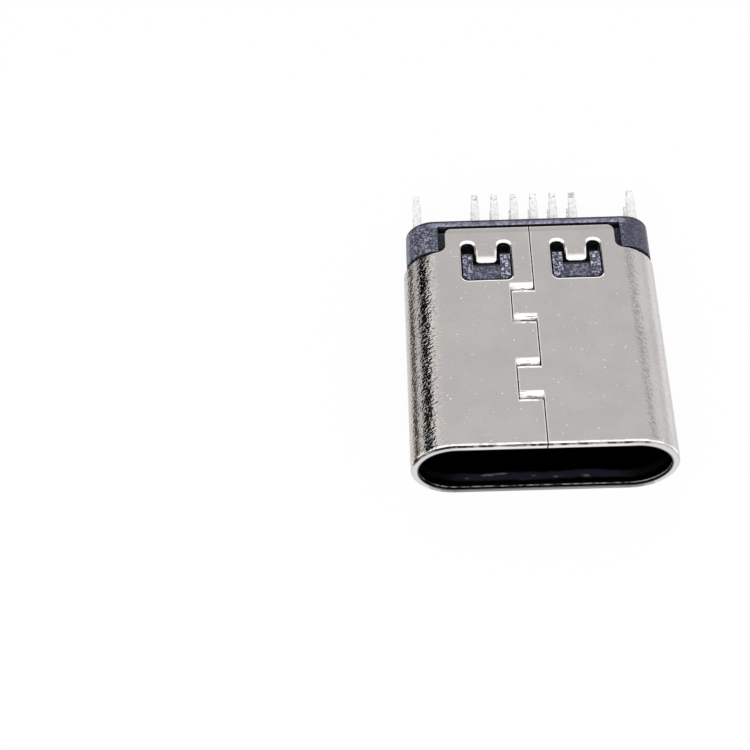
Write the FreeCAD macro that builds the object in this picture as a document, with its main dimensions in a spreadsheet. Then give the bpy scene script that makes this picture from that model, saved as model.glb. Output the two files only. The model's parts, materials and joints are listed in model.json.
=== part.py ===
import FreeCAD
import Part
import math
import os
import re
import Sketcher

# Socket for a reversible round-ended plug, of the kind that clamps over the edge of a circuit board.
# Millimetres. X runs to the right, Y runs back from the mouth, Z runs up towards the seam of the shell.
# The origin is the centre of the mouth.

SIZES = {
    # Shell: one sheet rolled into a tube with full-round ends
    "sheet_gauge": 0.25,
    "mouth_width": 8.34,
    "mouth_height": 2.56,
    "shell_length": 8.92,
    "notch_length": 0.98,
    "notch_width": 1.45,
    "notch_corner": 0.25,
    "rim_round": 0.09,
    "rear_edge_round": 0.05,
    # Seam on the upper face, with two teeth that reach to the left
    "seam_gap": 0.04,
    "tooth_reach": 0.8,
    "tooth_length": 1.3,
    "tooth_step": 3.11,
    "tooth_margin": 0.41,
    "tooth_gap": 0.06,
    "tooth_round": 0.2,
    # Latch windows: a slot round three sides of a tab that points to the mouth
    "window_place": 1.555,
    "window_width": 1.7,
    "window_length": 1.58,
    "window_margin": 0.66,
    "window_corner": 0.2,
    "window_slot": 0.43,
    "tab_length": 0.83,
    "tab_bend_length": 0.35,
    "tab_bend_radius": 0.95,
    "tab_tip_width": 0.75,
    "tab_tip_corner": 0.15,
    "tab_edge_round": 0.12,
    # Rear housing
    "plug_clearance": 0.03,
    "flange_gap": 0.16,
    "flange_gauge": 0.24,
    "housing_side_step": 0.13,
    "housing_top_step": 0.16,
    "housing_corner": 1.0,
    "ear_front_gap": 0.06,
    "ear_side_gap": 0.23,
    "groove_length": 0.14,
    "groove_wall": 0.45,
    "boss_length": 1.08,
    "boss_step": 0.03,
    "boss_bevel": 0.15,
    "boss_sink": 0.06,
    "boss_clearance": 0.03,
    "hook_gap": 0.05,
    "hook_sink": 0.12,
    "tab_clearance": 0.06,
    "pocket_length": 0.49,
    "pocket_wall": 0.5,
    # Slot through the housing for the two contact carriers
    "slot_height": 1.0,
    "slot_side_wall": 0.18,
    "slot_step_space": 0.1,
    "relief_rise": 0.08,
    "relief_side": 0.05,
    # Contact carriers and tongue
    "carrier_clearance": 0.02,
    "carrier_recess": 0.08,
    "tongue_front": 0.9,
    "tongue_width": 6.69,
    "tongue_height": 0.7,
    "tongue_chamfer": 0.14,
    "tongue_nose": 0.12,
    "plate_stand_out": 0.06,
    "wall_gauge": 0.45,
    "wall_side_gap": 0.47,
    "wall_top_gap": 0.38,
    "block_skin": 0.08,
    "post_skin": 0.0875,
    "post_wall": 0.113,
    "step_skin": 0.05,
    # Latch plate between the carriers
    "plate_gauge": 0.15,
    "plate_sink": 0.25,
    "plate_nose_step": 0.645,
    "plate_taper": 0.6,
    "plate_back_space": 0.1,
    "latch_front": 3.0,
    "latch_length": 1.1,
    "latch_depth": 0.3,
    "latch_clearance": 0.05,
    # Contacts: formed strips that run from the tongue to the straight tails
    "contact_gauge": 0.15,
    "contact_sink": 0.4,
    "contact_pitch": 0.5,
    "signal_width": 0.25,
    "power_width": 0.33,
    "rise_space": 0.15,
    "rise_length": 0.3,
    "inner_depth": 0.12,
    "fan_space": 0.75,
    "fan_length": 1.0,
    "lift_length": 0.35,
    "exit_depth": 0.005,
    "tail_pitch": 0.705,
    "tail_width": 0.27,
    "ground_tail_width": 0.29,
    "tail_slope_length": 0.66,
    "tail_straight_length": 0.93,
    "tail_taper_length": 0.08,
    "tail_length": 1.91,
    "pin_gap": 0.69,
    "tip_width": 0.22,
    "tip_flare": 0.04,
}

# Places that follow from the sizes
DERIVED = {
    "outer_half": "mouth_height / 2 + sheet_gauge",
    "inner_half": "mouth_height / 2",
    "tube_width": "mouth_width + 2 * sheet_gauge",
    "shell_side_length": "shell_length - notch_length",
    "notch_place": "mouth_width / 2 + sheet_gauge - notch_width",
    "window_back": "shell_length - window_margin",
    "window_front": "window_back - window_length",
    "rear_tooth_place": "window_front - tooth_margin - tooth_length",
    "front_tooth_place": "rear_tooth_place - tooth_step",
    "window_inner": "window_place - window_width / 2",
    "window_outer": "window_place + window_width / 2",
    "tab_front": "window_back - tab_length",
    "tab_bend_place": "tab_front + tab_bend_length",
    "tab_drop": "tab_bend_radius - sqrt(tab_bend_radius ^ 2 - tab_bend_length ^ 2)",
    "plug_half": "inner_half - plug_clearance",
    "flange_front": "shell_length + flange_gap",
    "housing_back": "flange_front + flange_gauge",
    "housing_width": "mouth_width + 2 * housing_side_step",
    "housing_height": "mouth_height + 2 * housing_top_step",
    "ear_front": "shell_side_length + ear_front_gap",
    "ear_place": "notch_place + ear_side_gap",
    "groove_floor": "slot_height / 2 + groove_wall",
    "boss_front": "window_front + boss_clearance",
    "boss_back": "boss_front + boss_length",
    "boss_top": "outer_half - boss_sink",
    "hook_back": "tab_front - hook_gap",
    "hook_top": "outer_half - hook_sink",
    "hollow_floor": "inner_half - tab_drop - tab_clearance",
    "pocket_back": "boss_back + pocket_length",
    "pocket_floor": "slot_height / 2 + pocket_wall",
    "housing_front": "boss_front - boss_step",
    "slot_step": "ear_front + slot_step_space",
    "slot_rear_half": "housing_width / 2 - slot_side_wall",
    "slot_half": "ground_at_step + power_width / 2 + step_skin + carrier_clearance",
    "relief_front": "fan_back",
    "relief_top": "exit_height + contact_gauge / 2 + relief_rise",
    "wall_front": "housing_front - wall_gauge",
    "wall_half": "mouth_width / 2 - wall_side_gap",
    "wall_top": "mouth_height / 2 - wall_top_gap",
    "block_top": "slot_height / 2 - carrier_clearance",
    "block_back": "housing_back - carrier_recess",
    "block_half": "2.5 * tail_pitch + tail_width / 2 + block_skin",
    "post_inner": "ground_tail_place - ground_tail_width / 2 - post_wall",
    "cavity_front": "fan_back + step_skin",
    "plate_front": "tongue_front + plate_sink",
    "plate_shoulder": "plate_front + plate_taper",
    "plate_back": "slot_step - plate_back_space",
    "latch_back": "latch_front + latch_length",
    "contact_front": "tongue_front + contact_sink",
    "tongue_level": "tongue_height / 2 - contact_gauge / 2",
    "rise_front": "wall_front + rise_space",
    "rise_back": "rise_front + rise_length",
    "inner_height": "slot_height / 2 - inner_depth",
    "fan_front": "housing_front + fan_space",
    "fan_back": "fan_front + fan_length",
    "lift_back": "fan_back + lift_length",
    "exit_height": "slot_height / 2 - exit_depth",
    "ground_tail_place": "slot_rear_half - carrier_clearance - post_skin - ground_tail_width / 2",
    "ground_front_place": "5.5 * contact_pitch",
    "ground_spread": "ground_tail_place - ground_front_place",
    "ground_at_step": "ground_front_place + ground_spread * (slot_step - fan_front) / fan_length",
    "tail_bend": "housing_back + tail_slope_length",
    "tail_taper_front": "tail_bend + tail_straight_length",
    "tail_taper_back": "tail_taper_front + tail_taper_length",
    "tail_end": "housing_back + tail_length",
    "tail_height": "pin_gap / 2 + contact_gauge / 2",
    "tip_height": "tail_height + tip_flare",
}

# Contacts from left to right: where each one stands on the tongue and where its tail does.
# Six inner ones stand in steps of a pitch from the middle, with a ground contact outside them on each side.
INNER_STEPS = (-2.5, -1.5, -0.5, 0.5, 1.5, 2.5)
CONTACT_PLACES = [("-ground_front_place", "-ground_tail_place")]
CONTACT_PLACES += [(f"{step} * contact_pitch", f"{step} * tail_pitch") for step in INNER_STEPS]
CONTACT_PLACES += [("ground_front_place", "ground_tail_place")]
UPPER_ROW = (
    "a1_ground", "a4_power", "a5_config", "a6_data", "a7_data", "a8_sideband", "a9_power", "a12_ground",
)
LOWER_ROW = (
    "b12_ground", "b9_power", "b8_sideband", "b7_data", "b6_data", "b5_config", "b4_power", "b1_ground",
)

# How far a cut runs past the material, and how near an edge has to be to a stated place
PAST = 1.0
NEAR = 0.005

doc = FreeCAD.newDocument("Socket")
sheet = doc.addObject("Spreadsheet::Sheet", "Sizes")
for row, (alias, size) in enumerate(SIZES.items(), start=1):
    sheet.set(f"A{row}", str(size))
    sheet.setAlias(f"A{row}", alias)
doc.recompute()


def bound(text):
    """The same expression with each size read from the sheet."""
    def read(word):
        name = word.group()
        if name in DERIVED:
            return "(" + bound(DERIVED[name]) + ")"
        return "Sizes." + name if name in SIZES else name

    return re.sub(r"[a-z_]{3,}", read, text)


def value(text):
    """The present value of an expression in named sizes."""
    return float(sheet.evalExpression(bound(text)))


def new_body(label):
    body = doc.addObject("PartDesign::Body", label)
    body.Label = label
    return body


def sketch_on(body, role, offset="0"):
    """An empty sketch on one of the body's origin planes, moved along the plane's normal."""
    sketch = body.newObject("Sketcher::SketchObject", "Sketch")
    plane = next(feature for feature in body.Origin.OriginFeatures if feature.Role == role)
    sketch.AttachmentSupport = [(plane, "")]
    sketch.MapMode = "FlatFace"
    sketch.setExpression("AttachmentOffset.Base.z", bound(offset))
    return sketch


def hold(sketch, kind, line, end, text):
    """Keeps an end or centre at an expression's distance from the origin, along the sketch's own axis."""
    number = sketch.addConstraint(Sketcher.Constraint(kind, -1, 1, line, end, value(text)))
    sketch.setExpression(f"Constraints[{number}]", bound(text))


def polygon(sketch, corners):
    """A closed outline with straight sides, each corner given by two expressions."""
    points = [FreeCAD.Vector(value(across), value(up), 0) for across, up in corners]
    first = sketch.GeometryCount
    count = len(points)
    for i in range(count):
        sketch.addGeometry(Part.LineSegment(points[i], points[(i + 1) % count]))
    for i in range(count):
        sketch.addConstraint(Sketcher.Constraint("Coincident", first + i, 2, first + (i + 1) % count, 1))
    for i, (across, up) in enumerate(corners):
        hold(sketch, "DistanceX", first + i, 1, across)
        hold(sketch, "DistanceY", first + i, 1, up)


def box_outline(sketch, left, right, low, high):
    polygon(sketch, [(left, low), (right, low), (right, high), (left, high)])


def rounded_outline(sketch, width, height, corner):
    """A rectangle about the origin with round corners, full-round where the corner is half the height."""
    far, tall, radius = value(width) / 2, value(height) / 2, value(corner)
    full_round = abs(tall - radius) < NEAR
    turns = [(1, -1, -90, 0), (1, 1, 0, 90), (-1, 1, 90, 180), (-1, -1, 180, 270)]
    if full_round:
        turns = [(1, 0, -90, 90), (-1, 0, 90, 270)]
    first = sketch.GeometryCount
    for right, up, start, end in turns:
        centre = FreeCAD.Vector(right * (far - radius), up * (tall - radius), 0)
        circle = Part.Circle(centre, FreeCAD.Vector(0, 0, 1), radius)
        sketch.addGeometry(Part.ArcOfCircle(circle, math.radians(start), math.radians(end)))
    count = len(turns)
    for i in range(count):
        here = sketch.Geometry[first + i]
        there = sketch.Geometry[first + (i + 1) % count]
        sketch.addGeometry(Part.LineSegment(here.EndPoint, there.StartPoint))
    for i in range(count):
        side = first + count + i
        sketch.addConstraint(Sketcher.Constraint("Tangent", first + i, 2, side, 1))
        sketch.addConstraint(Sketcher.Constraint("Tangent", side, 2, first + (i + 1) % count, 1))
    for i, (right, up, start, end) in enumerate(turns):
        hold(sketch, "DistanceX", first + i, 3, f"{right} * (({width}) / 2 - ({corner}))")
        hold(sketch, "DistanceY", first + i, 3, f"{up} * (({height}) / 2 - ({corner}))")
        number = sketch.addConstraint(Sketcher.Constraint("Radius", first + i, radius))
        sketch.setExpression(f"Constraints[{number}]", bound(corner))


def solid_feature(body, kind, sketch, length, reverse=False, both_ways=False):
    feature = body.newObject(kind, "Feature")
    feature.Profile = sketch
    feature.setExpression("Length", bound(length))
    feature.Reversed = reverse
    if both_ways:
        feature.SideType = "Symmetric"
    sketch.Visibility = False
    doc.recompute()
    return feature


def pad(body, sketch, length, reverse=False, both_ways=False):
    return solid_feature(body, "PartDesign::Pad", sketch, length, reverse, both_ways)


def pocket(body, sketch, length, reverse=False, both_ways=False):
    """A cut that has to take material away."""
    before = body.Tip.Shape.Volume
    feature = solid_feature(body, "PartDesign::Pocket", sketch, length, reverse, both_ways)
    if feature.Shape.isNull() or feature.Shape.Volume > before - 1e-6:
        raise RuntimeError(f"a cut in {body.Label} takes nothing away")
    return feature


def dress_edges(body, kind, size_name, size, wanted):
    """Rounds or bevels the edges of the last feature that the test picks."""
    base = body.Tip
    names = [f"Edge{i}" for i, edge in enumerate(base.Shape.Edges, start=1) if wanted(edge)]
    if not names:
        raise RuntimeError(f"no edges to dress in {body.Label}")
    feature = body.newObject(kind, "Dressed")
    feature.Base = (base, names)
    feature.setExpression(size_name, bound(size))
    doc.recompute()
    return feature


def round_edges(body, radius, wanted):
    return dress_edges(body, "PartDesign::Fillet", "Radius", radius, wanted)


def bevel_edges(body, size, wanted):
    return dress_edges(body, "PartDesign::Chamfer", "Size", size, wanted)


def upright_at(places):
    """Picks the edges along Z that stand at one of the given places, on either side of the middle."""
    points = [(value(across), value(back)) for across, back in places]

    def wanted(edge):
        box = edge.BoundBox
        if box.XLength > NEAR or box.YLength > NEAR:
            return False
        return any(abs(abs(box.XMin) - x) < NEAR and abs(box.YMin - y) < NEAR for x, y in points)

    return wanted


def cut_notches(body):
    """The two rear corners of each face are cut back, which leaves a flat tongue in the middle."""
    sketch = sketch_on(body, "XY_Plane")
    for side in (-1, 1):
        box_outline(sketch, f"{side} * notch_place", f"{side} * (mouth_width / 2 + {PAST})",
                    "shell_side_length", f"shell_length + {PAST}")
    pocket(body, sketch, f"mouth_height + {PAST}", both_ways=True)


def bent_strip(sketch, up):
    """The side view of a tab's bend: two arcs about one centre, from the flat sheet past the tab's tip."""
    centre = FreeCAD.Vector(value("tab_bend_place"), value(f"{up} * (outer_half - tab_bend_radius)"), 0)
    reach = value("tab_bend_length + tab_tip_corner")
    first = sketch.GeometryCount
    for radius in ("tab_bend_radius", "tab_bend_radius - sheet_gauge"):
        turn = math.asin(reach / value(radius))
        circle = Part.Circle(centre, FreeCAD.Vector(0, 0, 1), value(radius))
        start = math.pi / 2 if up > 0 else -math.pi / 2 - turn
        sketch.addGeometry(Part.ArcOfCircle(circle, start, start + turn))
    outer, inner = first, first + 1
    root, tip = (1, 2) if up > 0 else (2, 1)
    for end in (root, tip):
        ends = [sketch.getPoint(arc, end) for arc in (outer, inner)]
        line = sketch.addGeometry(Part.LineSegment(*ends))
        sketch.addConstraint(Sketcher.Constraint("Coincident", outer, end, line, 1))
        sketch.addConstraint(Sketcher.Constraint("Coincident", inner, end, line, 2))
    for arc, radius in ((outer, "tab_bend_radius"), (inner, "tab_bend_radius - sheet_gauge")):
        hold(sketch, "DistanceX", arc, 3, "tab_bend_place")
        hold(sketch, "DistanceY", arc, 3, f"{up} * (outer_half - tab_bend_radius)")
        hold(sketch, "DistanceX", arc, root, "tab_bend_place")
        hold(sketch, "DistanceX", arc, tip, "tab_front - tab_tip_corner")
        number = sketch.addConstraint(Sketcher.Constraint("Radius", arc, value(radius)))
        sketch.setExpression(f"Constraints[{number}]", bound(radius))


def bend_tabs(body):
    """Where the tabs will be, the flat sheet gives way to one that bends in towards its end."""
    clear = sketch_on(body, "XY_Plane")
    for side in (-1, 1):
        inner = f"{side} * (window_inner + window_slot / 2)"
        outer = f"{side} * (window_outer - window_slot / 2)"
        box_outline(clear, inner, outer, "window_front", "tab_bend_place")
    pocket(body, clear, f"mouth_height + {PAST}", both_ways=True)
    for side in (-1, 1):
        bent = sketch_on(body, "YZ_Plane", f"{side} * window_place")
        for up in (-1, 1):
            bent_strip(bent, up)
        pad(body, bent, "window_width - window_slot", both_ways=True)


def cut_windows(body):
    """The slots round the tabs, with round corners and ends."""
    slots = sketch_on(body, "XY_Plane")
    for side in (-1, 1):
        outline = [
            ("window_inner", "window_front"),
            ("window_outer", "window_front"),
            ("window_outer", "window_back"),
            ("window_outer - window_slot", "window_back"),
            ("window_place + tab_tip_width / 2", "tab_front"),
            ("window_place - tab_tip_width / 2", "tab_front"),
            ("window_inner + window_slot", "window_back"),
            ("window_inner", "window_back"),
        ]
        polygon(slots, [(f"{side} * ({across})", back) for across, back in outline])
    pocket(body, slots, f"mouth_height + {PAST}", both_ways=True)
    round_edges(body, "window_corner", upright_at([
        ("window_inner", "window_front"),
        ("window_outer", "window_front"),
    ]))
    round_edges(body, "window_slot * 0.45", upright_at([
        ("window_outer", "window_back"),
        ("window_outer - window_slot", "window_back"),
        ("window_inner + window_slot", "window_back"),
        ("window_inner", "window_back"),
    ]))
    round_edges(body, "tab_tip_corner", upright_at([
        ("window_place + tab_tip_width / 2", "tab_front"),
        ("window_place - tab_tip_width / 2", "tab_front"),
    ]))


def tab_edge(edge):
    """Picks the outer edges of the tabs, from one slot's rear end round the tip to the other's."""
    box = edge.BoundBox
    near_side = min(abs(box.XMin), abs(box.XMax))
    far_side = max(abs(box.XMin), abs(box.XMax))
    inner, outer = value("window_inner"), value("window_outer")
    if near_side < inner - NEAR or far_side > outer + NEAR:
        return False
    if box.YMin < value("tab_front") - NEAR or box.YMax > value("window_back") + NEAR:
        return False
    if min(abs(box.ZMin), abs(box.ZMax)) < value("outer_half - tab_drop") - NEAR:
        return False
    if abs(box.YMin - value("tab_bend_place")) < NEAR and box.YLength < NEAR:
        return False
    return box.XLength > NEAR or (near_side > inner + NEAR and far_side < outer - NEAR)


def cut_seam(body):
    """The slit where the two edges of the sheet meet: straight, with two teeth that lock into each other."""
    left = [("-seam_gap / 2", f"-{PAST}")]
    right = [("seam_gap / 2", f"-{PAST}")]
    for place in ("front_tooth_place", "rear_tooth_place"):
        front, back = place, f"{place} + tooth_length"
        left += [
            ("-seam_gap / 2", f"{front} - tooth_gap / 2"),
            ("-tooth_reach - seam_gap / 2", f"{front} - tooth_gap / 2"),
            ("-tooth_reach - seam_gap / 2", f"{back} + tooth_gap / 2"),
            ("-seam_gap / 2", f"{back} + tooth_gap / 2"),
        ]
        right += [
            ("seam_gap / 2", f"{front} + tooth_gap / 2"),
            ("-tooth_reach + seam_gap / 2", f"{front} + tooth_gap / 2"),
            ("-tooth_reach + seam_gap / 2", f"{back} - tooth_gap / 2"),
            ("seam_gap / 2", f"{back} - tooth_gap / 2"),
        ]
    left.append(("-seam_gap / 2", f"shell_length + {PAST}"))
    right.append(("seam_gap / 2", f"shell_length + {PAST}"))
    slit = sketch_on(body, "XY_Plane")
    polygon(slit, left + right[::-1])
    pocket(body, slit, f"mouth_height / 2 + {PAST}", reverse=True)


def tooth_edge(edge):
    """Picks the upper edges that cross the seam at the front and back of each tooth."""
    box = edge.BoundBox
    if box.YLength > NEAR or box.ZLength > NEAR or box.XLength > value("tooth_reach + seam_gap") + NEAR:
        return False
    if abs(box.ZMax - value("outer_half")) > NEAR or box.XMax > value("seam_gap"):
        return False
    places = [value(place) for place in ("front_tooth_place", "rear_tooth_place")]
    ends = places + [place + value("tooth_length") for place in places]
    return any(abs(box.YMin - end) < value("tooth_gap") for end in ends)


def rim_edge(edge):
    """Picks the outer edges of the mouth."""
    box = edge.BoundBox
    if box.YMax > NEAR or box.YMin < -NEAR:
        return False
    if box.XLength < value("sheet_gauge") + NEAR and box.ZLength < value("sheet_gauge") + NEAR:
        return False
    return box.ZMax > value("outer_half") - NEAR or box.ZMin < -value("outer_half") + NEAR


def rear_edge(edge):
    """Picks the outer edges of the rear end and of the notches in its corners."""
    box = edge.BoundBox
    if min(abs(box.ZMin), abs(box.ZMax)) < value("outer_half") - NEAR:
        return False
    if box.YMin < value("shell_side_length") - NEAR:
        return False
    if box.YMax > value("shell_length") + NEAR or box.ZLength > NEAR:
        return False
    at_rear = abs(box.YMin - value("shell_length")) < NEAR
    return at_rear or min(abs(box.XMin), abs(box.XMax)) > value("notch_place - notch_corner") - NEAR


def make_shell():
    body = new_body("shell")
    tube = sketch_on(body, "XZ_Plane")
    rounded_outline(tube, "tube_width", "2 * outer_half", "outer_half")
    rounded_outline(tube, "mouth_width", "mouth_height", "inner_half")
    pad(body, tube, "shell_length", reverse=True)
    cut_notches(body)
    round_edges(body, "notch_corner", upright_at([
        ("notch_place", "shell_side_length"),
        ("notch_place", "shell_length"),
    ]))
    bend_tabs(body)
    cut_windows(body)
    round_edges(body, "tab_edge_round", tab_edge)
    cut_seam(body)
    round_edges(body, "tooth_round", tooth_edge)
    round_edges(body, "rim_round", rim_edge)
    round_edges(body, "rear_edge_round", rear_edge)
    return body


def make_boss(body, side, up):
    """The raised lands in one latch window, the hook in front of the tab, and the hollow under the tab."""
    lands = sketch_on(body, "YZ_Plane", f"{side} * window_place")
    polygon(lands, [
        ("boss_front", f"{up} * (plug_half - sheet_gauge)"),
        ("boss_back", f"{up} * (plug_half - sheet_gauge)"),
        ("boss_back", f"{up} * boss_top"),
        ("boss_front + boss_bevel", f"{up} * boss_top"),
        ("boss_front", f"{up} * (boss_top - boss_bevel)"),
    ])
    pad(body, lands, "window_width - 2 * boss_clearance", both_ways=True)
    hollow = sketch_on(body, "YZ_Plane", f"{side} * window_place")
    polygon(hollow, [
        ("boss_front", f"{up} * hook_top"),
        ("hook_back", f"{up} * hook_top"),
        ("hook_back", f"{up} * hollow_floor"),
        ("pocket_back", f"{up} * hollow_floor"),
        ("pocket_back", f"{up} * (outer_half + {PAST})"),
        ("boss_front", f"{up} * (outer_half + {PAST})"),
    ])
    pocket(body, hollow, "window_width - 2 * window_slot + 2 * tab_clearance", both_ways=True)


def cut_ledges(body):
    """The flange stands up behind the shell, with a groove in front of it between the two ears."""
    ledges = sketch_on(body, "YZ_Plane")
    for up in (-1, 1):
        box_outline(ledges, f"ear_front - {PAST}", "flange_front",
                    f"{up} * plug_half", f"{up} * (housing_height / 2 + {PAST})")
    pocket(body, ledges, "2 * ear_place", both_ways=True)
    grooves = sketch_on(body, "YZ_Plane")
    for up in (-1, 1):
        box_outline(grooves, "flange_front - groove_length", "flange_front",
                    f"{up} * groove_floor", f"{up} * outer_half")
    pocket(body, grooves, "2 * ear_place", both_ways=True)


def cut_slot(body):
    """The slot for the contact carriers, wider at the back, with a relief over and under every tail."""
    slot = sketch_on(body, "XZ_Plane", "-housing_front")
    box_outline(slot, "-slot_half", "slot_half", "-slot_height / 2", "slot_height / 2")
    pocket(body, slot, "housing_back - housing_front")
    wide_slot = sketch_on(body, "XZ_Plane", "-slot_step")
    box_outline(wide_slot, "-slot_rear_half", "slot_rear_half", "-slot_height / 2", "slot_height / 2")
    pocket(body, wide_slot, "housing_back - slot_step")
    reliefs = sketch_on(body, "XZ_Plane", "-relief_front")
    for front_place, tail_place in CONTACT_PLACES:
        width = "ground_tail_width" if "ground" in tail_place else "tail_width"
        half = f"({width} / 2 + relief_side)"
        left, right = f"{tail_place} - {half}", f"{tail_place} + {half}"
        box_outline(reliefs, left, right, "-relief_top", "relief_top")
    pocket(body, reliefs, "housing_back - relief_front")


def make_housing():
    body = new_body("rear_housing")
    plug = sketch_on(body, "XZ_Plane", "-housing_front")
    rounded_outline(plug, "mouth_width - 2 * plug_clearance", "2 * plug_half", "plug_half")
    pad(body, plug, "ear_front + sheet_gauge - housing_front", reverse=True)
    block = sketch_on(body, "XZ_Plane", "-ear_front")
    rounded_outline(block, "housing_width", "housing_height", "housing_corner")
    pad(body, block, "housing_back - ear_front", reverse=True)
    cut_ledges(body)
    for side in (-1, 1):
        for up in (-1, 1):
            make_boss(body, side, up)
    round_edges(body, "window_corner - boss_clearance", upright_at([
        ("window_inner + boss_clearance", "boss_front"),
        ("window_outer - boss_clearance", "boss_front"),
    ]))
    pockets = sketch_on(body, "XY_Plane", "pocket_floor")
    for side in (-1, 1):
        inner = f"{side} * (window_inner + boss_clearance)"
        outer = f"{side} * (window_outer - boss_clearance)"
        box_outline(pockets, inner, outer, "boss_back", "pocket_back")
    pocket(body, pockets, f"{PAST}", reverse=True)
    cut_slot(body)
    return body


def both_sides(right_side):
    """A whole outline from its right half."""
    return right_side + [(f"-({across})", back) for across, back in right_side[::-1]]


def make_plate():
    """The steel plate in the middle of the tongue, with a notch on each side for the plug's latches."""
    body = new_body("mid_plate")
    outline = sketch_on(body, "XY_Plane")
    polygon(outline, both_sides([
        ("tongue_width / 2 - plate_nose_step", "plate_front"),
        ("tongue_width / 2", "plate_shoulder"),
        ("tongue_width / 2", "latch_front"),
        ("tongue_width / 2 - latch_depth", "latch_front"),
        ("tongue_width / 2 - latch_depth", "latch_back"),
        ("tongue_width / 2", "latch_back"),
        ("tongue_width / 2", "wall_front"),
        ("tongue_width / 2 - 2 * plate_stand_out", "wall_front"),
        ("tongue_width / 2 - 2 * plate_stand_out", "plate_back"),
    ]))
    pad(body, outline, "plate_gauge", both_ways=True)
    return body


def contact_line(up):
    """Places along a contact's length, with the height of its middle, for the upper or the lower row."""
    line = [
        ("contact_front", "tongue_level"),
        ("rise_front", "tongue_level"),
        ("rise_back", "inner_height"),
        ("fan_back", "inner_height"),
        ("lift_back", "exit_height"),
        ("housing_back", "exit_height"),
        ("tail_bend", "tail_height"),
        ("tail_taper_front", "tail_height"),
        ("tail_end", "tip_height"),
    ]
    above = [(back, f"{up} * ({height} + contact_gauge / 2)") for back, height in line]
    below = [(back, f"{up} * ({height} - contact_gauge / 2)") for back, height in line]
    return above + below[::-1]


def contact_plan(front_place, tail_place, name):
    """A contact from above: straight on the tongue, fanned out in the carrier, tapered at the tip."""
    front_width = "power_width" if name.endswith(("ground", "power")) else "signal_width"
    tail_width = "ground_tail_width" if name.endswith("ground") else "tail_width"
    line = [
        (front_place, "contact_front", front_width),
        (front_place, "fan_front", front_width),
        (tail_place, "fan_back", tail_width),
        (tail_place, "tail_taper_front", tail_width),
        (tail_place, "tail_taper_back", "tip_width"),
        (tail_place, "tail_end", "tip_width"),
    ]
    right = [(f"{across} + {width} / 2", back) for across, back, width in line]
    left = [(f"{across} - {width} / 2", back) for across, back, width in line]
    return right + left[::-1]


def extrusion(sketch, direction, length):
    solid = doc.addObject("Part::Extrusion", "Strip")
    solid.Base = sketch
    solid.DirMode = "Custom"
    solid.Dir = direction
    solid.Solid = True
    solid.Symmetric = True
    solid.setExpression("LengthFwd", bound(length))
    return solid


def make_contact(places, name, up):
    """A strip with the formed side view, kept where the stamped plan is."""
    side_view = doc.addObject("Sketcher::SketchObject", "SideView")
    side_view.Placement = FreeCAD.Placement(FreeCAD.Vector(), FreeCAD.Rotation(FreeCAD.Vector(1, 1, 1), 120))
    polygon(side_view, contact_line(up))
    plan = doc.addObject("Sketcher::SketchObject", "Plan")
    polygon(plan, contact_plan(*places, name))
    contact = doc.addObject("Part::Common", "contact_" + name)
    contact.Label = "contact_" + name
    contact.Base = extrusion(side_view, FreeCAD.Vector(1, 0, 0), "housing_width")
    contact.Tool = extrusion(plan, FreeCAD.Vector(0, 0, 1), "housing_height")
    return contact


def nose_edge(edge):
    """Picks the outer edge across the tongue's front."""
    box = edge.BoundBox
    if abs(box.YMin - value("tongue_front")) > NEAR or box.YLength > NEAR or box.ZLength > NEAR:
        return False
    return abs(abs(box.ZMin) - value("tongue_height / 2")) < NEAR


def make_carrier(label, up, contacts):
    """One half of the tongue and of its root, moulded round a row of contacts and against the plate."""
    lower = up < 0
    body = new_body(label + "_moulding")
    edge = "tongue_width / 2 - plate_stand_out"
    notch = f"{edge} - latch_depth + latch_clearance"
    blade = sketch_on(body, "XY_Plane")
    polygon(blade, both_sides([
        (f"{edge} - tongue_chamfer", "tongue_front"),
        (edge, "tongue_front + tongue_chamfer"),
        (edge, "latch_front - latch_clearance"),
        (notch, "latch_front - latch_clearance"),
        (notch, "latch_back + latch_clearance"),
        (edge, "latch_back + latch_clearance"),
        (edge, "wall_front"),
    ]))
    pad(body, blade, "tongue_height / 2", reverse=lower)
    bevel_edges(body, "tongue_nose", nose_edge)
    wall = sketch_on(body, "XY_Plane")
    box_outline(wall, "-wall_half", "wall_half", "wall_front", "housing_front - carrier_clearance")
    pad(body, wall, "wall_top", reverse=lower)
    block = sketch_on(body, "XY_Plane")
    polygon(block, both_sides([
        ("slot_half - carrier_clearance", "housing_front - carrier_clearance"),
        ("slot_half - carrier_clearance", "slot_step + carrier_clearance"),
        ("slot_rear_half - carrier_clearance", "slot_step + carrier_clearance"),
        ("slot_rear_half - carrier_clearance", "block_back"),
        ("post_inner", "block_back"),
        ("post_inner", "cavity_front"),
        ("block_half", "cavity_front"),
        ("block_half", "block_back"),
    ]))
    pad(body, block, "block_top", reverse=lower)
    moulded_in = doc.addObject("Part::MultiFuse", "Inserts")
    moulded_in.Shapes = contacts + [plate]
    carrier = doc.addObject("Part::Cut", label)
    carrier.Label = label
    carrier.Base = body
    carrier.Tool = moulded_in
    return carrier


plate = make_plate()
upper_contacts = [make_contact(places, name, 1) for places, name in zip(CONTACT_PLACES, UPPER_ROW)]
lower_contacts = [make_contact(places, name, -1) for places, name in zip(CONTACT_PLACES, LOWER_ROW)]
doc.recompute()
sub_parts = [make_shell(), make_housing(), plate]
sub_parts += [make_carrier("upper_contact_carrier", 1, upper_contacts)]
sub_parts += [make_carrier("lower_contact_carrier", -1, lower_contacts)]
sub_parts += upper_contacts + lower_contacts
doc.recompute()

failed = [item.Name for item in doc.Objects if "Invalid" in item.State or "Error" in item.State]
if failed:
    raise RuntimeError("failed objects: " + ", ".join(failed))
for part in sub_parts:
    if part.Shape.isNull() or not part.Shape.isValid():
        raise RuntimeError("bad shape: " + part.Label)

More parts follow.
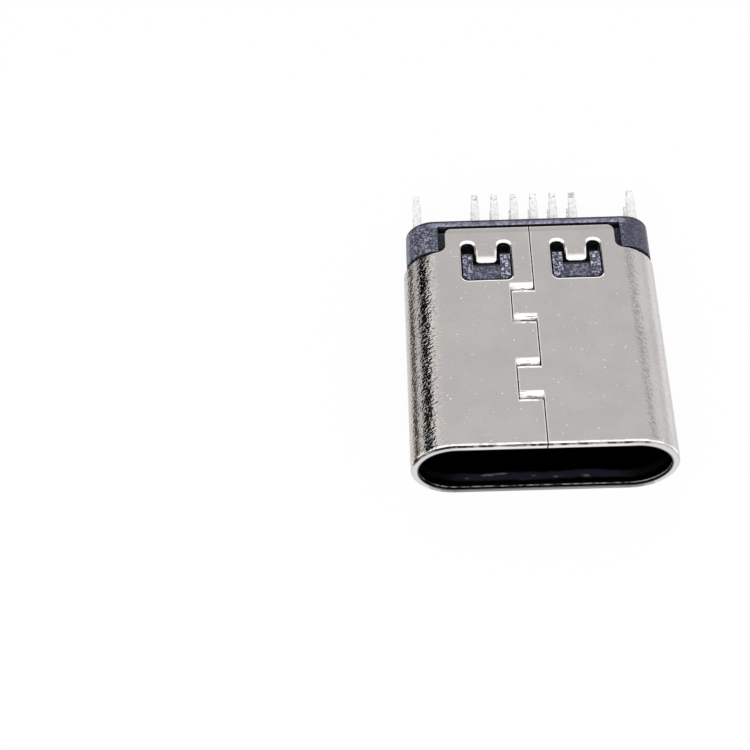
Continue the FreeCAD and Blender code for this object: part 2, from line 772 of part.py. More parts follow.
os.makedirs("parts", exist_ok=True)
for part in sub_parts:
    part.Shape.exportStep(f"parts/{part.Label}.step")
    print(f"{part.Label}: {len(part.Shape.Solids)} solid, {part.Shape.Volume:.4f} mm3")
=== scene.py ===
import json
import math

import bpy
from mathutils import Matrix, Vector


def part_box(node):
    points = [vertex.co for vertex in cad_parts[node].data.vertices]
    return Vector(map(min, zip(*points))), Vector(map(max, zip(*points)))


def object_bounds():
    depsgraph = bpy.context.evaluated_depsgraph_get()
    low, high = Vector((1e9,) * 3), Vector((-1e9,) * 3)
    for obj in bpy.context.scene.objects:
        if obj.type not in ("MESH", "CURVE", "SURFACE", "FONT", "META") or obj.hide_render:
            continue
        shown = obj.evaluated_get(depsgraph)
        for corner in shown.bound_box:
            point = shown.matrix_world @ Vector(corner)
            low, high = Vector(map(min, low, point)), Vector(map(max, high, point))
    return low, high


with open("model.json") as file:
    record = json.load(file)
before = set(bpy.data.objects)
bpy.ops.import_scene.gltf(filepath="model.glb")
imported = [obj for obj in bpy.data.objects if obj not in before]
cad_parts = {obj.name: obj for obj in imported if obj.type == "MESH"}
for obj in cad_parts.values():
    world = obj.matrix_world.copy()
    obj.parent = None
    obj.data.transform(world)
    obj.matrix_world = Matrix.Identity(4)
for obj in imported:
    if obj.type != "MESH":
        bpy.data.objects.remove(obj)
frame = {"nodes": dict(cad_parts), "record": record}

# Metres, in the frame of the part: X right, Y back from the mouth, Z up to the seam side.
MM = 0.001
cad_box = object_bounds()
nodes = frame["nodes"]
shell_low, shell_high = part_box("shell")
shell_width = shell_high.x - shell_low.x
shell_height = shell_high.z - shell_low.z
shell_back = shell_high.y
sheet_gauge = 0.25 * MM
outer_half = shell_height / 2
inner_half = outer_half - sheet_gauge
side_centre = shell_width / 2 - outer_half
housing_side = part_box("rear_housing")[1].x
housing_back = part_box("rear_housing")[1].y
floor_height = shell_low.z - 0.002 * MM

# Places of painted highlights, sheen and shade on the shell's rim and in its mouth
cut_face_end = 0.03 * MM
turn_end = 0.13 * MM
fold_inner = outer_half - 0.09 * MM
fold_outer = outer_half - 0.004 * MM
lip_front = 0.075 * MM
lip_back = 0.145 * MM
sheen_front = 0.3 * MM
sheen_back = 0.68 * MM

# Places of painted highlights and shade at the seam, the windows and the shell's rear edge
teeth_front = 1.5 * MM
teeth_back = 6.4 * MM
windows_back = 8.6 * MM
windows_side = 2.45 * MM
tab_front = shell_back - 1.49 * MM
tab_place = 1.555 * MM
tab_side_inner = 0.27 * MM
tab_side_outer = 0.46 * MM
tab_side_front = tab_front - 0.1 * MM
tab_side_back = tab_front + 0.62 * MM
rear_band_front = shell_back - 0.26 * MM
rear_band_back = shell_back - 0.07 * MM

# Places of painted highlights, shade and other details on the housing and the pins
tab_shadow_half = 0.48 * MM
tab_shadow_front = tab_front - 0.14 * MM
tab_shadow_back = tab_front + 0.3 * MM
hook_half = 0.44 * MM
boss_back = 7.9 * MM
ear_inner = 3.2 * MM
side_strip = housing_side - 0.13 * MM
flange_front = housing_back - 0.3 * MM
flange_side = 3.3 * MM
rear_line_front = housing_back - 0.075 * MM
tip_place = cad_box[1][1] - 0.27 * MM


# Camera at the photograph's viewing angle. Its angles are in degrees.

FOCAL_PIXELS = 1576.0
PHOTO_PIXELS = 750.0
CAMERA_ELEVATION = 56.52
CAMERA_YAW = -1.34
CAMERA_ROLL = -2.78
MOUTH_FROM_CAMERA = Vector((5.58, 3.06, 51.66)) * MM
SENSOR_MM = 36.0


def make_camera():
    """A pinhole camera. The offset is the mouth's centre as the camera sees it: right, down and ahead."""
    elevation, yaw, roll = (math.radians(angle) for angle in (CAMERA_ELEVATION, CAMERA_YAW, CAMERA_ROLL))
    ahead = Vector((0, math.cos(elevation), -math.sin(elevation)))
    right = Vector((1, 0, 0))
    up = right.cross(ahead)
    rolled_right = right * math.cos(roll) + up * math.sin(roll)
    rolled_up = up * math.cos(roll) - right * math.sin(roll)
    turn = Matrix.Rotation(yaw, 3, "Z")
    to_camera = Matrix((rolled_right, -rolled_up, ahead)) @ turn
    place = -(to_camera.transposed() @ MOUTH_FROM_CAMERA)
    axes = Matrix((to_camera[0], -to_camera[1], -to_camera[2])).transposed()
    data = bpy.data.cameras.new("camera")
    data.sensor_width = SENSOR_MM
    data.lens = SENSOR_MM * FOCAL_PIXELS / PHOTO_PIXELS
    data.clip_start = 0.001
    data.clip_end = 10.0
    camera = bpy.data.objects.new("camera", data)
    camera.matrix_world = Matrix.Translation(place) @ axes.to_4x4()
    bpy.context.scene.collection.objects.link(camera)
    bpy.context.scene.camera = camera


# Node helpers


class Shader:
    """A node tree with a short way to add nodes and link them. A mask is a value from 0 to 1."""

    def __init__(self, name):
        self.material = bpy.data.materials.new(name)
        self.material.use_nodes = True
        self.tree = self.material.node_tree
        self.tree.nodes.clear()
        self.place = self.add("ShaderNodeTexCoord").outputs["Object"]

    def add(self, kind, **values):
        node = self.tree.nodes.new(kind)
        for key, value in values.items():
            setattr(node, key, value)
        return node

    def plug(self, socket, value):
        """Links an output, or writes a plain value."""
        if isinstance(value, bpy.types.NodeSocket):
            self.tree.links.new(value, socket)
        else:
            socket.default_value = value

    def math(self, operation, first, second=0.0):
        node = self.add("ShaderNodeMath", operation=operation)
        self.plug(node.inputs[0], first)
        self.plug(node.inputs[1], second)
        return node.outputs["Value"]

    def times(self, first, *others):
        """The product of masks and strengths."""
        for other in others:
            first = self.math("MULTIPLY", first, other)
        return first

    def largest(self, first, *others):
        for other in others:
            first = self.math("MAXIMUM", first, other)
        return first

    def apart(self, first, second):
        """The distance between two values."""
        return self.math("ABSOLUTE", self.math("SUBTRACT", first, second))

    def mix(self, share, first, second):
        """Colour between two others. The node's colour sockets are inputs 6 and 7 and output 2."""
        node = self.add("ShaderNodeMix", data_type="RGBA")
        self.plug(node.inputs["Factor"], share)
        self.plug(node.inputs[6], first)
        self.plug(node.inputs[7], second)
        return node.outputs[2]

    def paint(self, colour, over, *shares):
        """The colour with another one laid over it, as strongly as the product of the shares."""
        return self.mix(self.times(*shares), colour, over)

    def ramp(self, value, low, high, low_out=0.0, high_out=1.0):
        """A smooth rise or fall from one output to another between two values."""
        node = self.add("ShaderNodeMapRange", interpolation_type="SMOOTHSTEP")
        self.plug(node.inputs["Value"], value)
        node.inputs["From Min"].default_value = low
        node.inputs["From Max"].default_value = high
        node.inputs["To Min"].default_value = low_out
        node.inputs["To Max"].default_value = high_out
        return node.outputs["Result"]

    def band(self, value, low, high, soft):
        """1 between two values and 0 outside them."""
        rise = self.ramp(value, low, low + soft)
        fall = self.ramp(value, high - soft, high, 1.0, 0.0)
        return self.times(rise, fall)

    def noise(self, size_mm, detail=2.0, roughness=0.5, stretch=(1, 1, 1), offset=(0, 0, 0),
              distortion=0.0):
        """Noise with features of about the given size, from 0 to 1. Offsets keep noises apart."""
        mapping = self.add("ShaderNodeMapping")
        self.plug(mapping.inputs["Vector"], self.place)
        mapping.inputs["Scale"].default_value = stretch
        mapping.inputs["Location"].default_value = offset
        node = self.add("ShaderNodeTexNoise")
        self.plug(node.inputs["Vector"], mapping.outputs["Vector"])
        node.inputs["Scale"].default_value = 1.0 / (size_mm * MM)
        node.inputs["Detail"].default_value = detail
        node.inputs["Roughness"].default_value = roughness
        node.inputs["Distortion"].default_value = distortion
        return node.outputs["Fac"]

    def signed(self, name):
        """The place along one axis."""
        parts = self.add("ShaderNodeSeparateXYZ")
        self.plug(parts.inputs[0], self.place)
        return parts.outputs[name]

    def axis(self, name):
        """The distance from the middle plane along one axis, without its sign."""
        return self.math("ABSOLUTE", self.signed(name))

    def facing(self, name):
        """How far the face is turned towards either end of one axis, from 0 to 1."""
        face = self.add("ShaderNodeNewGeometry")
        parts = self.add("ShaderNodeSeparateXYZ")
        self.plug(parts.inputs[0], face.outputs["Normal"])
        return self.math("ABSOLUTE", parts.outputs[name])

    def tube_radius(self):
        """The distance from the shell's flat core, the same all round on each face of the rolled sheet."""
        past_flat = self.math("MAXIMUM", self.math("SUBTRACT", self.axis("X"), side_centre), 0.0)
        across = self.math("POWER", past_flat, 2.0)
        up = self.math("POWER", self.axis("Z"), 2.0)
        return self.math("SQRT", self.math("ADD", across, up))

    def bump(self, height, distance_mm, under):
        """The normal under it, or the face's own, tilted by the height."""
        node = self.add("ShaderNodeBump")
        self.plug(node.inputs["Height"], height)
        node.inputs["Distance"].default_value = distance_mm * MM
        node.inputs["Strength"].default_value = 1.0
        if under is not None:
            self.plug(node.inputs["Normal"], under)
        return node.outputs["Normal"]

    def occlusion(self, distance_mm):
        """How open a point is, from 0 in a deep gap to 1 on a free face."""
        node = self.add("ShaderNodeAmbientOcclusion", samples=6)
        node.inputs["Distance"].default_value = distance_mm * MM
        return node.outputs["AO"]

    def edge_round(self, radius_mm):
        """The normal of edges rounded by about the given radius."""
        node = self.add("ShaderNodeBevel", samples=6)
        node.inputs["Radius"].default_value = radius_mm * MM
        return node.outputs["Normal"]

    def edge_mark(self, radius_mm, low, high):
        """1 along the edges and 0 on open faces."""
        face = self.add("ShaderNodeNewGeometry")
        dot = self.add("ShaderNodeVectorMath", operation="DOT_PRODUCT")
        self.plug(dot.inputs[0], self.edge_round(radius_mm))
        self.plug(dot.inputs[1], face.outputs["Normal"])
        return self.ramp(dot.outputs["Value"], high, low)

    def finish(self, colour, roughness, normal, metallic=0.0, specular=0.5):
        surface = self.add("ShaderNodeBsdfPrincipled")
        self.plug(surface.inputs["Base Color"], colour)
        self.plug(surface.inputs["Roughness"], roughness)
        self.plug(surface.inputs["Normal"], normal)
        self.plug(surface.inputs["Metallic"], metallic)
        surface.inputs["Specular IOR Level"].default_value = specular
        output = self.add("ShaderNodeOutputMaterial")
        self.tree.links.new(surface.outputs["BSDF"], output.inputs["Surface"])
        return self.material


def linear(red, green, blue):
    """An sRGB colour, 0 to 255, as the linear RGBA that shaders take."""
    def channel(c):
        c /= 255.0
        return c / 12.92 if c <= 0.04045 else ((c + 0.055) / 1.055) ** 2.4
    return (channel(red), channel(green), channel(blue), 1.0)


def shaded(colour, factor):
    return (colour[0] * factor, colour[1] * factor, colour[2] * factor, 1.0)


NEAR_WHITE = linear(252, 250, 248)
NEAR_BLACK = linear(3, 3, 4)


# Nickel of the shell


def nickel():
    """Satin nickel plating, with painted highlights at cut edges and bends, and painted shade nearly black
    inside the mouth.
    """
    s = Shader("satin_nickel")
    fine = s.noise(0.05, detail=2.0)
    specks = s.ramp(s.noise(0.075, detail=0.0, offset=(5, 3, 1)), 0.81, 0.87)
    marks = scratches(s)
    colour = plating(s, fine, specks, marks)
    # Painted highlight: near white along the edges.
    edges = s.edge_mark(0.085, 0.82, 0.99)
    colour = s.paint(colour, linear(250, 248, 247), edges, 0.9)
    colour, tooth_ends = paint_bends(s, colour)
    colour = paint_rim(s, colour)
    colour, in_mouth = paint_mouth(s, colour)
    colour = paint_fold_shadow(s, colour)
    # Painted shade: a slightly darker band before the shell's rear edge.
    rear_band = s.band(s.axis("Y"), rear_band_front, rear_band_back, 0.05 * MM)
    colour = s.paint(colour, linear(168, 164, 163), rear_band, 0.6)
    # Where highlights, sheen and lip are painted, the metal gives way to their painted colour.
    behind_rim = s.ramp(s.axis("Y"), 0.05 * MM, 0.3 * MM, 0.0, 0.55)
    painted_light_share = s.largest(in_mouth, s.times(tooth_ends, 0.6), s.times(edges, behind_rim))
    metallic = s.math("SUBTRACT", 1.0, painted_light_share)
    roughness = s.ramp(fine, 0.3, 0.7, 0.11, 0.17)
    normal = s.bump(orange_peel(s), 0.0165, under=s.edge_round(0.035))
    normal = s.bump(s.math("ADD", specks, marks), 0.004, under=normal)
    return s.finish(colour, roughness, normal, metallic)


def orange_peel(s):
    """Fine waves: strong on the formed sides, a little weaker on the right one, and faint on the flats."""
    peel = s.noise(0.085, detail=0.3, stretch=(0.62, 1, 0.62), distortion=0.7)
    formed = s.ramp(s.axis("X"), side_centre + 0.15 * MM, side_centre + 0.55 * MM, 0.1, 1.0)
    by_side = s.ramp(s.signed("X"), -1.0 * MM, 1.0 * MM, 1.0, 0.85)
    return s.times(peel, s.times(formed, by_side))


def scratches(s):
    """Hairlines across the shell, in a few patches."""
    hairlines = s.ramp(s.noise(0.045, detail=1.0, stretch=(0.04, 1, 1), distortion=0.3), 0.74, 0.8)
    scratched = s.ramp(s.noise(1.1, detail=1.0, offset=(9, 2, 4)), 0.55, 0.7)
    return s.times(hairlines, scratched)


def plating(s, fine, specks, marks):
    """Grey nickel with faint clouds and grain, and with specks and scratches."""
    clouds = s.noise(1.3, detail=3.0, roughness=0.55, offset=(0.3, 0.1, 0.2))
    soft_specks = s.ramp(s.noise(0.11, detail=1.0, offset=(6, 1, 8)), 0.72, 0.84)
    dark_specks = s.ramp(s.noise(0.075, detail=0.0, offset=(15, 13, 11)), 0.82, 0.88)
    colour = s.mix(s.ramp(clouds, 0.35, 0.68), linear(188, 184, 181), linear(182, 178, 178))
    colour = s.mix(s.ramp(fine, 0.35, 0.65, 0.0, 0.3), colour, linear(175, 171, 170))
    colour = s.paint(colour, linear(135, 132, 131), dark_specks, 0.35)
    colour = s.paint(colour, linear(216, 212, 207), soft_specks, 0.5)
    colour = s.paint(colour, NEAR_WHITE, specks, 0.9)
    return s.paint(colour, linear(224, 221, 219), marks, 0.6)


def paint_bends(s, colour):
    """Painted white highlights on the tabs and on the teeth's ends, those with grey streaks. Also gives
    the mask of those ends.
    """
    along = s.signed("Y")
    from_middle = s.axis("X")
    # Painted highlight: white on faces bent across the length, at the teeth and the tabs.
    bends = s.times(
        s.ramp(s.facing("Y"), 0.08, 0.3),
        s.band(along, teeth_front, windows_back, 0.1 * MM),
        s.ramp(from_middle, windows_side, windows_side + 0.05 * MM, 1.0, 0.0))
    colour = s.mix(bends, colour, linear(246, 244, 243))
    # Painted highlight: white along the tabs' sides.
    tab_sides = s.times(
        s.band(s.apart(from_middle, tab_place), tab_side_inner, tab_side_outer, 0.06 * MM),
        s.band(along, tab_side_front, tab_side_back, 0.25 * MM))
    colour = s.mix(tab_sides, colour, NEAR_WHITE)
    at_teeth = s.times(bends, s.ramp(along, teeth_back - 0.1 * MM, teeth_back, 1.0, 0.0))
    # Noise breaks up the painted highlight on the teeth's ends.
    highlight_breakup = s.ramp(s.noise(0.16, detail=3.0, offset=(7, 2, 9), distortion=0.8), 0.4, 0.54, 0.45, 1.0)
    tooth_ends = s.times(at_teeth, highlight_breakup)
    colour = s.mix(tooth_ends, colour, linear(250, 248, 246))
    streaks = s.noise(0.055, detail=1.0, stretch=(0.2, 1, 1), offset=(3, 8, 6), distortion=0.4)
    return s.paint(colour, linear(152, 149, 148), s.ramp(streaks, 0.54, 0.64), at_teeth), tooth_ends


def paint_rim(s, colour):
    """The cut rim of the sheet, greyer at its ends by painted shade, and a painted white highlight line on
    the outer face behind it.
    """
    along = s.signed("Y")
    # Painted highlight: a broken white line where the rim turns into the outer face.
    turn = s.times(
        s.ramp(along, turn_end - 0.04 * MM, turn_end, 1.0, 0.0),
        s.ramp(s.tube_radius(), outer_half - 0.02 * MM, outer_half - 0.01 * MM),
        s.ramp(s.noise(0.22, detail=2.0, offset=(8, 3, 3)), 0.36, 0.52, 0.4, 1.0))
    colour = s.mix(turn, colour, NEAR_WHITE)
    # Painted shade: the cut rim is greyer towards its ends.
    at_ends = s.ramp(s.axis("X"), side_centre - 0.5 * MM, side_centre + 0.3 * MM)
    rim_colour = s.mix(at_ends, linear(240, 237, 237), linear(216, 214, 215))
    cut_face = s.ramp(along, cut_face_end - 0.02 * MM, cut_face_end, 1.0, 0.0)
    return s.mix(cut_face, colour, rim_colour)


def paint_mouth(s, colour):
    """Painted shade, nearly black, inside the shell, with a broken painted highlight on the lip and a
    faint painted sheen. Also gives their mask.
    """
    along = s.axis("Y")
    inside = s.ramp(s.tube_radius(), inner_half + 0.02 * MM, inner_half + 0.05 * MM, 1.0, 0.0)
    # Painted shade: nearly black inside the shell, a little lighter near the mouth.
    colour = s.paint(colour, linear(6, 5, 10), inside, s.ramp(along, 0.0, 0.3 * MM, 0.8, 0.97))
    # Painted highlight: a broken pale line on the lip, and below it a painted sheen with glints.
    lip = s.times(
        inside,
        s.band(along, lip_front, lip_back, 0.025 * MM),
        s.ramp(s.noise(0.25, detail=2.0), 0.35, 0.6, 0.25, 1.0))
    waves = s.times(s.math("SUBTRACT", s.noise(0.9, detail=3.0), 0.5), 0.2 * MM)
    sheen = s.times(
        inside,
        s.band(s.math("ADD", along, waves), sheen_front, sheen_back, 0.12 * MM),
        s.ramp(s.axis("X"), side_centre - 0.6 * MM, side_centre + 0.5 * MM, 1.0, 0.2))
    colour = s.mix(sheen, colour, linear(29, 27, 40))
    glints = s.ramp(s.noise(0.3, detail=3.0, stretch=(0.5, 1.5, 1), offset=(1, 5, 2)), 0.6, 0.68)
    colour = s.paint(colour, linear(120, 112, 116), sheen, s.times(glints, 0.6))
    return s.mix(lip, colour, linear(150, 146, 150)), s.largest(sheen, lip)


def paint_fold_shadow(s, colour):
    """A broken brown line of painted shadow along the rim's outer edge on the seam side, nearly gone at
    its right end.
    """
    fold_shadow = s.times(
        s.band(s.tube_radius(), fold_inner, fold_outer, 0.012 * MM),
        s.ramp(s.axis("Y"), 0.045 * MM, 0.06 * MM, 1.0, 0.0),
        s.ramp(s.noise(0.3, detail=3.0, offset=(4, 4, 4)), 0.38, 0.62, 0.45, 0.97),
        s.ramp(s.signed("Z"), 0.2 * MM, 0.7 * MM),
        s.ramp(s.signed("X"), side_centre + 0.2 * MM, side_centre + 0.5 * MM, 1.0, 0.1))
    return s.mix(fold_shadow, colour, linear(38, 24, 17))


# Metal of the contacts and the plate


def tin():
    """Tin plating on the contacts, with blots, grey edges of painted shade, and painted shade where they
    lie deep.
    """
    s = Shader("bright_tin")
    cloud = s.noise(0.16, detail=2.0)
    colour = s.mix(s.ramp(cloud, 0.35, 0.7), linear(234, 234, 233), linear(214, 214, 214))
    blots = s.ramp(s.noise(0.11, detail=1.0, offset=(2, 7, 4)), 0.52, 0.64)
    at_tips = s.ramp(s.axis("Y"), tip_place, tip_place + 0.06 * MM, 0.2, 1.0)
    colour = s.paint(colour, linear(170, 170, 174), blots, at_tips)
    # Painted shade: grey along the edges.
    colour = s.paint(colour, linear(160, 160, 165), s.edge_mark(0.05, 0.8, 0.98), 0.7)
    # Painted shade: dark where the contacts lie deep, darkest towards the back.
    deep = s.mix(s.ramp(s.axis("Y"), 6.5 * MM, 8.0 * MM), linear(74, 71, 68), linear(10, 10, 14))
    colour = s.mix(s.ramp(s.occlusion(1.6), 0.15, 0.6), deep, colour)
    roughness = s.ramp(cloud, 0.3, 0.7, 0.3, 0.45)
    normal = s.bump(s.noise(0.04, detail=2.0), 0.005, under=None)
    return s.finish(colour, roughness, normal, metallic=0.5)


def steel():
    """Bare stamped steel with a faint rolling grain."""
    s = Shader("bare_steel")
    grain = s.noise(0.03, detail=2.0, stretch=(1, 0.1, 1))
    colour = s.mix(grain, linear(190, 190, 190), linear(165, 165, 165))
    normal = s.bump(grain, 0.004, under=s.edge_round(0.015))
    return s.finish(colour, s.ramp(grain, 0.3, 0.7, 0.25, 0.4), normal, metallic=1.0)


# Plastic of the housing and the carriers


def moulded_plastic(name, dark, middle, pale, gloss):
    """Glass-filled moulded plastic: blotchy pale and dark grain, its pale fibres partly painted glints,
    pale painted edge highlights, and painted shade black in deep gaps.
    """
    s = Shader(name)
    grain = s.noise(0.11, detail=3.0, roughness=0.6, distortion=0.6)
    fibres_and_glints = s.noise(0.085, detail=2.0, roughness=0.6, offset=(3, 1, 7), distortion=0.8)
    pits = s.ramp(s.noise(0.1, detail=2.0, offset=(8, 4, 2), distortion=0.5), 0.52, 0.64)
    contrast = grain_and_glint_contrast(s)
    colour = s.mix(s.ramp(s.noise(0.8, detail=2.0), 0.3, 0.7), middle, shaded(middle, 0.8))
    # Pale fibres, partly painted glints, and dark pits.
    colour = s.paint(colour, pale, s.ramp(fibres_and_glints, 0.5, 0.6), contrast)
    colour = s.paint(colour, dark, pits, s.times(contrast, 0.85))
    # Painted highlight: pale along the edges.
    colour = s.paint(colour, pale, s.edge_mark(0.05, 0.75, 0.98), 0.3)
    colour = paint_housing(s, colour, dark, pale)
    # Painted shade: nearly black in deep gaps.
    openness = s.ramp(s.occlusion(0.6), 0.35, 0.78)
    colour = s.mix(openness, NEAR_BLACK, colour)
    normal = s.bump(grain, 0.03, under=s.edge_round(0.03))
    roughness = s.mix(openness, (0.95, 0.95, 0.95, 1.0), s.ramp(grain, 0.3, 0.7, 0.45, 0.62))
    return s.finish(colour, roughness, normal, specular=gloss)


def grain_and_glint_contrast(s):
    """How strong the grain and its painted glints are: full on the lands beside each tab, and least on the
    right ear.
    """
    from_tab = s.apart(s.axis("X"), tab_place)
    return s.times(
        s.ramp(s.axis("Y"), boss_back, boss_back + 0.05 * MM, 1.0, 0.33),
        s.ramp(from_tab, hook_half, hook_half + 0.06 * MM, 0.35, 1.0),
        s.times(s.ramp(s.signed("X"), -ear_inner - 0.2 * MM, -ear_inner, 1.6, 1.0),
                s.ramp(s.signed("X"), ear_inner, ear_inner + 0.2 * MM, 1.0, 0.45)))


def paint_housing(s, colour, dark, pale):
    """Painted highlights on the sides and the flange, a dark line of painted shade along the rear edge,
    and black painted shadows at the tabs.
    """
    along = s.axis("Y")
    from_middle = s.axis("X")
    # Painted highlight: a pale strip along each side.
    sides = s.ramp(from_middle, side_strip, side_strip + 0.03 * MM, 0.0, 0.3)
    colour = s.mix(sides, colour, pale)
    # Painted highlight on the flange, strongest at its front.
    flange = s.times(
        s.ramp(along, flange_front, flange_front + 0.04 * MM),
        s.ramp(along, flange_front + 0.05 * MM, flange_front + 0.24 * MM, 0.42, 0.12),
        s.ramp(from_middle, flange_side, flange_side + 0.2 * MM, 1.0, 0.0))
    blotches = s.noise(0.16, detail=2.0, offset=(6, 6, 2), distortion=0.6)
    colour = s.paint(colour, pale, flange, s.ramp(blotches, 0.38, 0.62, 0.45, 1.7))
    # Painted shade: a dark line along the rear edge.
    rear_line = s.ramp(along, rear_line_front, rear_line_front + 0.03 * MM, 0.0, 0.9)
    colour = s.mix(rear_line, colour, dark)
    # Painted shadow: black at the tabs.
    tab_shadows = s.times(
        s.band(along, tab_shadow_front, tab_shadow_back, 0.03 * MM),
        s.band(from_middle, tab_place - tab_shadow_half, tab_place + tab_shadow_half, 0.02 * MM))
    return s.mix(tab_shadows, colour, NEAR_BLACK)


def dress_nodes():
    """Each CAD piece in the finish of its material slot."""
    finishes = {
        "shell_nickel": nickel(),
        "housing_plastic": moulded_plastic(
            "housing_plastic",
            dark=linear(16, 16, 24), middle=linear(52, 54, 71), pale=linear(176, 178, 200), gloss=0.34),
        "carrier_plastic": moulded_plastic(
            "carrier_plastic",
            dark=linear(5, 5, 7), middle=linear(17, 17, 21), pale=linear(36, 36, 44), gloss=0.15),
        "plate_steel": steel(),
        "contact_metal": tin(),
    }
    for part in frame["record"]["subparts"]:
        mesh_object = nodes[part["node"]]
        mesh_object.data.materials.clear()
        mesh_object.data.materials.append(finishes[part["material_slot"]])


# Stage: floor and surroundings that look white, soft lamps, and cards that only reflections show

FLOOR_HALF = 0.4
FLOOR_WHITE_SHARE = 0.93
WORLD_LEVEL = 0.8
CARD_RISE = 0.03 * MM
CARD_DISTANCE = 0.08
CARDS_MIDDLE = Vector((0, 0.004, 0))
LAMPS_AIM = Vector((0.0, 0.005, 0.0))
WHITE = (1.0, 1.0, 1.0)


def seen_directly(tree):
    """1 for rays from the camera and for those that metal or glass shows."""
    path = tree.nodes.new("ShaderNodeLightPath")
    either = path.outputs["Is Camera Ray"]
    for name in ("Is Glossy Ray", "Is Transmission Ray"):
        larger = tree.nodes.new("ShaderNodeMath")
        larger.operation = "MAXIMUM"
        tree.links.new(either, larger.inputs[0])
        tree.links.new(path.outputs[name], larger.inputs[1])
        either = larger.outputs["Value"]
    return either


def floor_material():
    """Pale to the lamps' light, and nearly plain white to the camera and in reflections."""
    material = bpy.data.materials.new("pale_floor")
    material.use_nodes = True
    tree = material.node_tree
    surface = tree.nodes["Principled BSDF"]
    surface.inputs["Base Color"].default_value = (0.8, 0.8, 0.8, 1.0)
    surface.inputs["Roughness"].default_value = 0.9
    surface.inputs["Specular IOR Level"].default_value = 0.1
    share = tree.nodes.new("ShaderNodeMath")
    share.operation = "MULTIPLY"
    share.inputs[1].default_value = FLOOR_WHITE_SHARE
    tree.links.new(seen_directly(tree), share.inputs[0])
    glow = tree.nodes.new("ShaderNodeEmission")
    glow.inputs["Color"].default_value = (*WHITE, 1.0)
    both = tree.nodes.new("ShaderNodeMixShader")
    tree.links.new(share.outputs["Value"], both.inputs["Fac"])
    tree.links.new(surface.outputs["BSDF"], both.inputs[1])
    tree.links.new(glow.outputs["Emission"], both.inputs[2])
    tree.links.new(both.outputs["Shader"], tree.nodes["Material Output"].inputs["Surface"])
    return material


def flat_mesh(name, half_width, half_depth, height, material):
    """A level rectangle round its own Z axis."""
    mesh = bpy.data.meshes.new(name)
    signs = ((-1, -1), (1, -1), (1, 1), (-1, 1))
    mesh.from_pydata([(x * half_width, y * half_depth, height) for x, y in signs], [], [(0, 1, 2, 3)])
    mesh.materials.append(material)
    return mesh


def make_floor():
    mesh = flat_mesh("floor", FLOOR_HALF, FLOOR_HALF, floor_height, floor_material())
    floor = bpy.data.objects.new("floor", mesh)
    bpy.context.scene.collection.objects.link(floor)


def make_world():
    """Even surroundings, white to the camera and in reflections, and a little dimmer as light."""
    world = bpy.data.worlds.new("surroundings")
    world.use_nodes = True
    tree = world.node_tree
    background = tree.nodes["Background"]
    level = tree.nodes.new("ShaderNodeMapRange")
    tree.links.new(seen_directly(tree), level.inputs["Value"])
    level.inputs["To Min"].default_value = WORLD_LEVEL
    level.inputs["To Max"].default_value = 1.0
    background.inputs["Color"].default_value = (*WHITE, 1.0)
    tree.links.new(level.outputs["Result"], background.inputs["Strength"])
    bpy.context.scene.world = world


def glowing(name, colour, strength):
    """A plain glow, the same from every side."""
    material = bpy.data.materials.new(name)
    material.use_nodes = True
    tree = material.node_tree
    tree.nodes.clear()
    glow = tree.nodes.new("ShaderNodeEmission")
    glow.inputs["Color"].default_value = (*colour, 1.0)
    glow.inputs["Strength"].default_value = strength
    output = tree.nodes.new("ShaderNodeOutputMaterial")
    tree.links.new(glow.outputs["Emission"], output.inputs["Surface"])
    return material


def card(name, placing, size, colour, strength):
    """A flat card that only reflections show."""
    width, depth = size
    mesh = flat_mesh(name, width / 2, depth / 2, 0.0, glowing(name, colour, strength))
    piece = bpy.data.objects.new(name, mesh)
    piece.matrix_world = placing
    piece.visible_camera = False
    piece.visible_diffuse = False
    piece.visible_shadow = False
    bpy.context.scene.collection.objects.link(piece)


def looking(place, aim):
    """A placing whose Z axis points from the place to the aim."""
    return Matrix.Translation(place) @ (aim - place).to_track_quat("Z", "Y").to_matrix().to_4x4()


def sky_card(name, side, height, size, strength, colour=WHITE):
    """A card in one direction, in degrees round from the back to the right, and up. So is its size."""
    around, up = math.radians(side), math.radians(height)
    direction = Vector((math.sin(around) * math.cos(up), math.cos(around) * math.cos(up), math.sin(up)))
    width, tall = (2 * CARD_DISTANCE * math.tan(math.radians(span / 2)) for span in size)
    place = CARDS_MIDDLE + direction * CARD_DISTANCE
    card(name, looking(place, CARDS_MIDDLE), (width, tall), colour, strength)


def floor_card(name, x, y, size, strength, colour=WHITE):
    """A card that lies just over the floor. Its place and size are in millimetres."""
    place = Vector((x * MM, y * MM, floor_height + CARD_RISE))
    card(name, Matrix.Translation(place), (size[0] * MM, size[1] * MM), colour, strength)


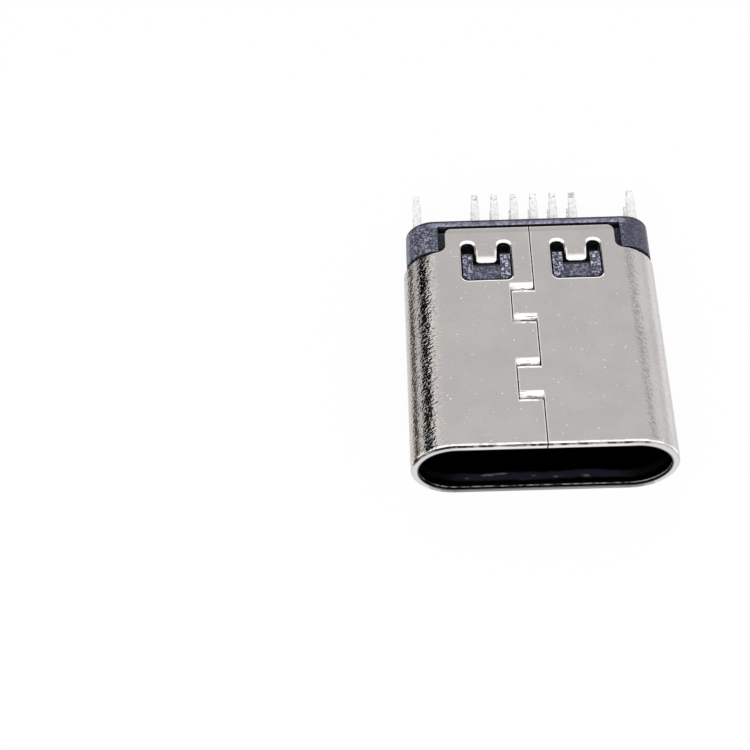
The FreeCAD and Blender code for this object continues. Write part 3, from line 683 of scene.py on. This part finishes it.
def lamp(name, place, size, watts):
    """A square lamp that lights the part but isn't seen in it."""
    data = bpy.data.lights.new(name, "AREA")
    data.shape = "SQUARE"
    data.size = size
    data.energy = watts
    piece = bpy.data.objects.new(name, data)
    turn = (Vector(place) - LAMPS_AIM).to_track_quat("Z", "Y")
    piece.matrix_world = Matrix.Translation(Vector(place)) @ turn.to_matrix().to_4x4()
    piece.visible_glossy = False
    bpy.context.scene.collection.objects.link(piece)


def make_rim_shade():
    """Cards of painted shadow: the dim strip of floor that the lower rim mirrors, paler towards its ends.
    In millimetres.
    """
    before_mouth = -0.22
    depth = 0.4
    # Name, place along X, width and shade
    strips = (
        ("middle", 0.0, 6.0, 0.34),
        ("left", -3.2, 0.4, 0.45),
        ("right", 3.2, 0.4, 0.45),
        ("far_left", -3.6, 0.4, 0.62),
        ("far_right", 3.6, 0.4, 0.62))
    for side, x, width, shade in strips:
        bluish = (shade, shade * 0.98, shade * 1.06)
        floor_card("rim_shade_card_" + side, x, before_mouth, (width, depth), 1.0, bluish)


def make_light():
    """White above and behind, and at the sides the dark and pale bands that the rolled sides mirror."""
    make_world()
    lamp("front_lamp", (-0.03, -0.14, 0.17), size=0.12, watts=0.34)
    lamp("side_lamp", (0.18, 0.04, 0.10), size=0.10, watts=0.03)
    sky_card("overhead_card", 180, 76.5, (110, 75), 1.35)
    sky_card("back_white_card", 0, 12, (48, 36), 1.4)
    sky_card("left_black_card", -56, 16, (60, 24), 0.0)
    sky_card("left_white_card", -50, 32, (50, 8), 1.5, colour=(1.0, 0.98, 0.92))
    sky_card("right_grey_card", 49, 32, (36, 8), 0.6)
    sky_card("right_pale_card", 52, 13, (40, 22), 1.15)
    floor_card("left_low_card", -10.0, 8.0, (6.0, 20.0), 1.0, colour=(0.12, 0.085, 0.05))
    floor_card("right_low_card", 10.0, 8.0, (6.0, 20.0), 1.3)
    make_rim_shade()


make_camera()
dress_nodes()
make_floor()
make_light()
bpy.context.scene.view_settings.view_transform = "Standard"
